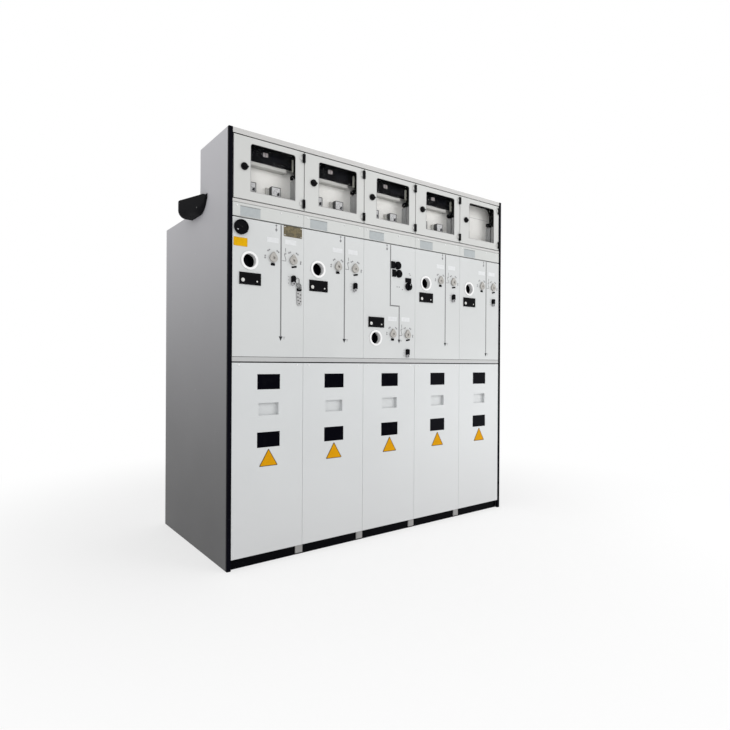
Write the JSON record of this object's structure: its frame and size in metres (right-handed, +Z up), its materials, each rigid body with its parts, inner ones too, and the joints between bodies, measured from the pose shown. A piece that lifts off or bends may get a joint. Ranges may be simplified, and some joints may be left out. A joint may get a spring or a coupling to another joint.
{
  "type": "air-insulated switchgear row",
  "caption": "Row of metal-clad ring-main cubicles with hinged instrument doors on top, switch panels with turning pointers, and lift-off cable covers, between two end panels.",
  "frame": {"origin": "on the floor, at the middle of the row's width and of its depth, on the underside of the middle cubicle's base tray", "axes": "+X to the right along the row as seen from the front, +Y from the front to the back, +Z up"},
  "size_m": [1.991, 0.941, 2.035],
  "materials": {
    "light_enamel": "semi-gloss powder coat",
    "rail_enamel": "semi-gloss powder coat",
    "end_enamel": "satin powder coat",
    "plate_enamel": "satin",
    "black_enamel": "satin",
    "dark_housing": "matt",
    "black_metal": "matt",
    "pointer_metal": "satin",
    "dark_glass": "gloss",
    "clear_glass": "clear",
    "black_plastic": "matt",
    "meter_plastic": "satin",
    "white_plastic": "gloss"
  },
  "bodies": {
    "cabinet": {"base_trays": "black_enamel", "foot_blocks": "light_enamel", "cubicles": "dark_housing", "left_end_panel": "end_enamel", "right_end_panel": "end_enamel", "edge_trims": "black_enamel", "roof_covers": "end_enamel", "rear_covers": "end_enamel", "middle_rail": "rail_enamel", "switch_panels": "light_enamel", "cable_covers": "light_enamel", "cable_windows": "dark_glass", "busbar_covers": "light_enamel", "box_shell": "light_enamel", "box_dividers": "plate_enamel", "mounting_plates": "plate_enamel", "protection_relays": "black_plastic", "panel_meters": "meter_plastic", "sight_rings": "white_plastic", "sight_glasses": "dark_glass", "live_indicators": "black_plastic", "indicator_lenses": "white_plastic", "key_locks": "black_plastic", "pressure_gauge": "black_plastic", "control_bezels": "black_plastic", "hinge_brackets": "black_metal", "side_cap": "black_plastic"},
    "door_1": {"instrument_door_1": "light_enamel", "door_window_1": "clear_glass"},
    "lock_1": {"door_lock_1": "black_metal"},
    "earth_1": {"earth_pointer_1": "pointer_metal"},
    "load_1": {"load_pointer_1": "pointer_metal"},
    "door_2": {"instrument_door_2": "light_enamel", "door_window_2": "clear_glass"},
    "lock_2": {"door_lock_2": "black_metal"},
    "earth_2": {"earth_pointer_2": "pointer_metal"},
    "load_2": {"load_pointer_2": "pointer_metal"},
    "door_3": {"instrument_door_3": "light_enamel", "door_window_3": "clear_glass"},
    "lock_3": {"door_lock_3": "black_metal"},
    "earth_3": {"earth_pointer_3": "pointer_metal"},
    "load_3": {"load_pointer_3": "pointer_metal"},
    "door_4": {"instrument_door_4": "light_enamel", "door_window_4": "clear_glass"},
    "lock_4": {"door_lock_4": "black_metal"},
    "earth_4": {"earth_pointer_4": "pointer_metal"},
    "load_4": {"load_pointer_4": "pointer_metal"},
    "door_5": {"instrument_door_5": "light_enamel", "door_window_5": "clear_glass"},
    "lock_5": {"door_lock_5": "black_metal"},
    "earth_5": {"earth_pointer_5": "pointer_metal"},
    "load_5": {"load_pointer_5": "pointer_metal"},
    "open_button": {"open_button": "black_plastic"},
    "close_button": {"close_button": "black_plastic"},
    "selector": {"selector_knob": "black_plastic"}
  },
  "joints": [
    {"name": "door_1_hinge", "type": "hinge", "parent": "cabinet", "child": "door_1", "pos_m": [-0.5685, -0.4655, 1.8605], "axis": [0, 0, 1], "range_deg": [0, 90]},
    {"name": "door_2_hinge", "type": "hinge", "parent": "cabinet", "child": "door_2", "pos_m": [-0.1945, -0.4655, 1.8605], "axis": [0, 0, 1], "range_deg": [0, 90]},
    {"name": "door_3_hinge", "type": "hinge", "parent": "cabinet", "child": "door_3", "pos_m": [0.1795, -0.4655, 1.8605], "axis": [0, 0, 1], "range_deg": [0, 90]},
    {"name": "door_4_hinge", "type": "hinge", "parent": "cabinet", "child": "door_4", "pos_m": [0.5535, -0.4655, 1.8605], "axis": [0, 0, 1], "range_deg": [0, 90]},
    {"name": "door_5_hinge", "type": "hinge", "parent": "cabinet", "child": "door_5", "pos_m": [0.9275, -0.4655, 1.8605], "axis": [0, 0, 1], "range_deg": [0, 90]},
    {"name": "lock_1_turn", "type": "hinge", "parent": "door_1", "child": "lock_1", "pos_m": [-0.8815, -0.46, 1.865], "axis": [0, -1, 0], "range_deg": [0, 90]},
    {"name": "lock_2_turn", "type": "hinge", "parent": "door_2", "child": "lock_2", "pos_m": [-0.5075, -0.46, 1.865], "axis": [0, -1, 0], "range_deg": [0, 90]},
    {"name": "lock_3_turn", "type": "hinge", "parent": "door_3", "child": "lock_3", "pos_m": [-0.1335, -0.46, 1.865], "axis": [0, -1, 0], "range_deg": [0, 90]},
    {"name": "lock_4_turn", "type": "hinge", "parent": "door_4", "child": "lock_4", "pos_m": [0.2405, -0.46, 1.865], "axis": [0, -1, 0], "range_deg": [0, 90]},
    {"name": "lock_5_turn", "type": "hinge", "parent": "door_5", "child": "lock_5", "pos_m": [0.6145, -0.46, 1.865], "axis": [0, -1, 0], "range_deg": [0, 90]},
    {"name": "earth_1_turn", "type": "hinge", "parent": "cabinet", "child": "earth_1", "pos_m": [-0.7305, -0.46, 1.459], "axis": [0, -1, 0], "range_deg": [0, 90]},
    {"name": "earth_2_turn", "type": "hinge", "parent": "cabinet", "child": "earth_2", "pos_m": [-0.3555, -0.46, 1.459], "axis": [0, -1, 0], "range_deg": [0, 90]},
    {"name": "earth_3_turn", "type": "hinge", "parent": "cabinet", "child": "earth_3", "pos_m": [0.0195, -0.46, 1.122], "axis": [0, -1, 0], "range_deg": [0, 90]},
    {"name": "earth_4_turn", "type": "hinge", "parent": "cabinet", "child": "earth_4", "pos_m": [0.3945, -0.46, 1.459], "axis": [0, -1, 0], "range_deg": [0, 90]},
    {"name": "earth_5_turn", "type": "hinge", "parent": "cabinet", "child": "earth_5", "pos_m": [0.7695, -0.46, 1.459], "axis": [0, -1, 0], "range_deg": [0, 90]},
    {"name": "load_1_turn", "type": "hinge", "parent": "cabinet", "child": "load_1", "pos_m": [-0.6215, -0.46, 1.459], "axis": [0, 1, 0], "range_deg": [0, 90]},
    {"name": "load_2_turn", "type": "hinge", "parent": "cabinet", "child": "load_2", "pos_m": [-0.2465, -0.46, 1.459], "axis": [0, 1, 0], "range_deg": [0, 90]},
    {"name": "load_3_turn", "type": "hinge", "parent": "cabinet", "child": "load_3", "pos_m": [0.1285, -0.46, 1.122], "axis": [0, 1, 0], "range_deg": [0, 90]},
    {"name": "load_4_turn", "type": "hinge", "parent": "cabinet", "child": "load_4", "pos_m": [0.5035, -0.46, 1.459], "axis": [0, 1, 0], "range_deg": [0, 90]},
    {"name": "load_5_turn", "type": "hinge", "parent": "cabinet", "child": "load_5", "pos_m": [0.8785, -0.46, 1.459], "axis": [0, 1, 0], "range_deg": [0, 90]},
    {"name": "open_button_press", "type": "slide", "parent": "cabinet", "child": "open_button", "axis": [0, 1, 0], "range_m": [0, 0.004], "stiffness_N_per_m": 400},
    {"name": "close_button_press", "type": "slide", "parent": "cabinet", "child": "close_button", "axis": [0, 1, 0], "range_m": [0, 0.004], "stiffness_N_per_m": 400},
    {"name": "selector_turn", "type": "hinge", "parent": "cabinet", "child": "selector", "pos_m": [0.1325, -0.46, 1.4], "axis": [0, 1, 0], "range_deg": [-45, 45]}
  ]
}
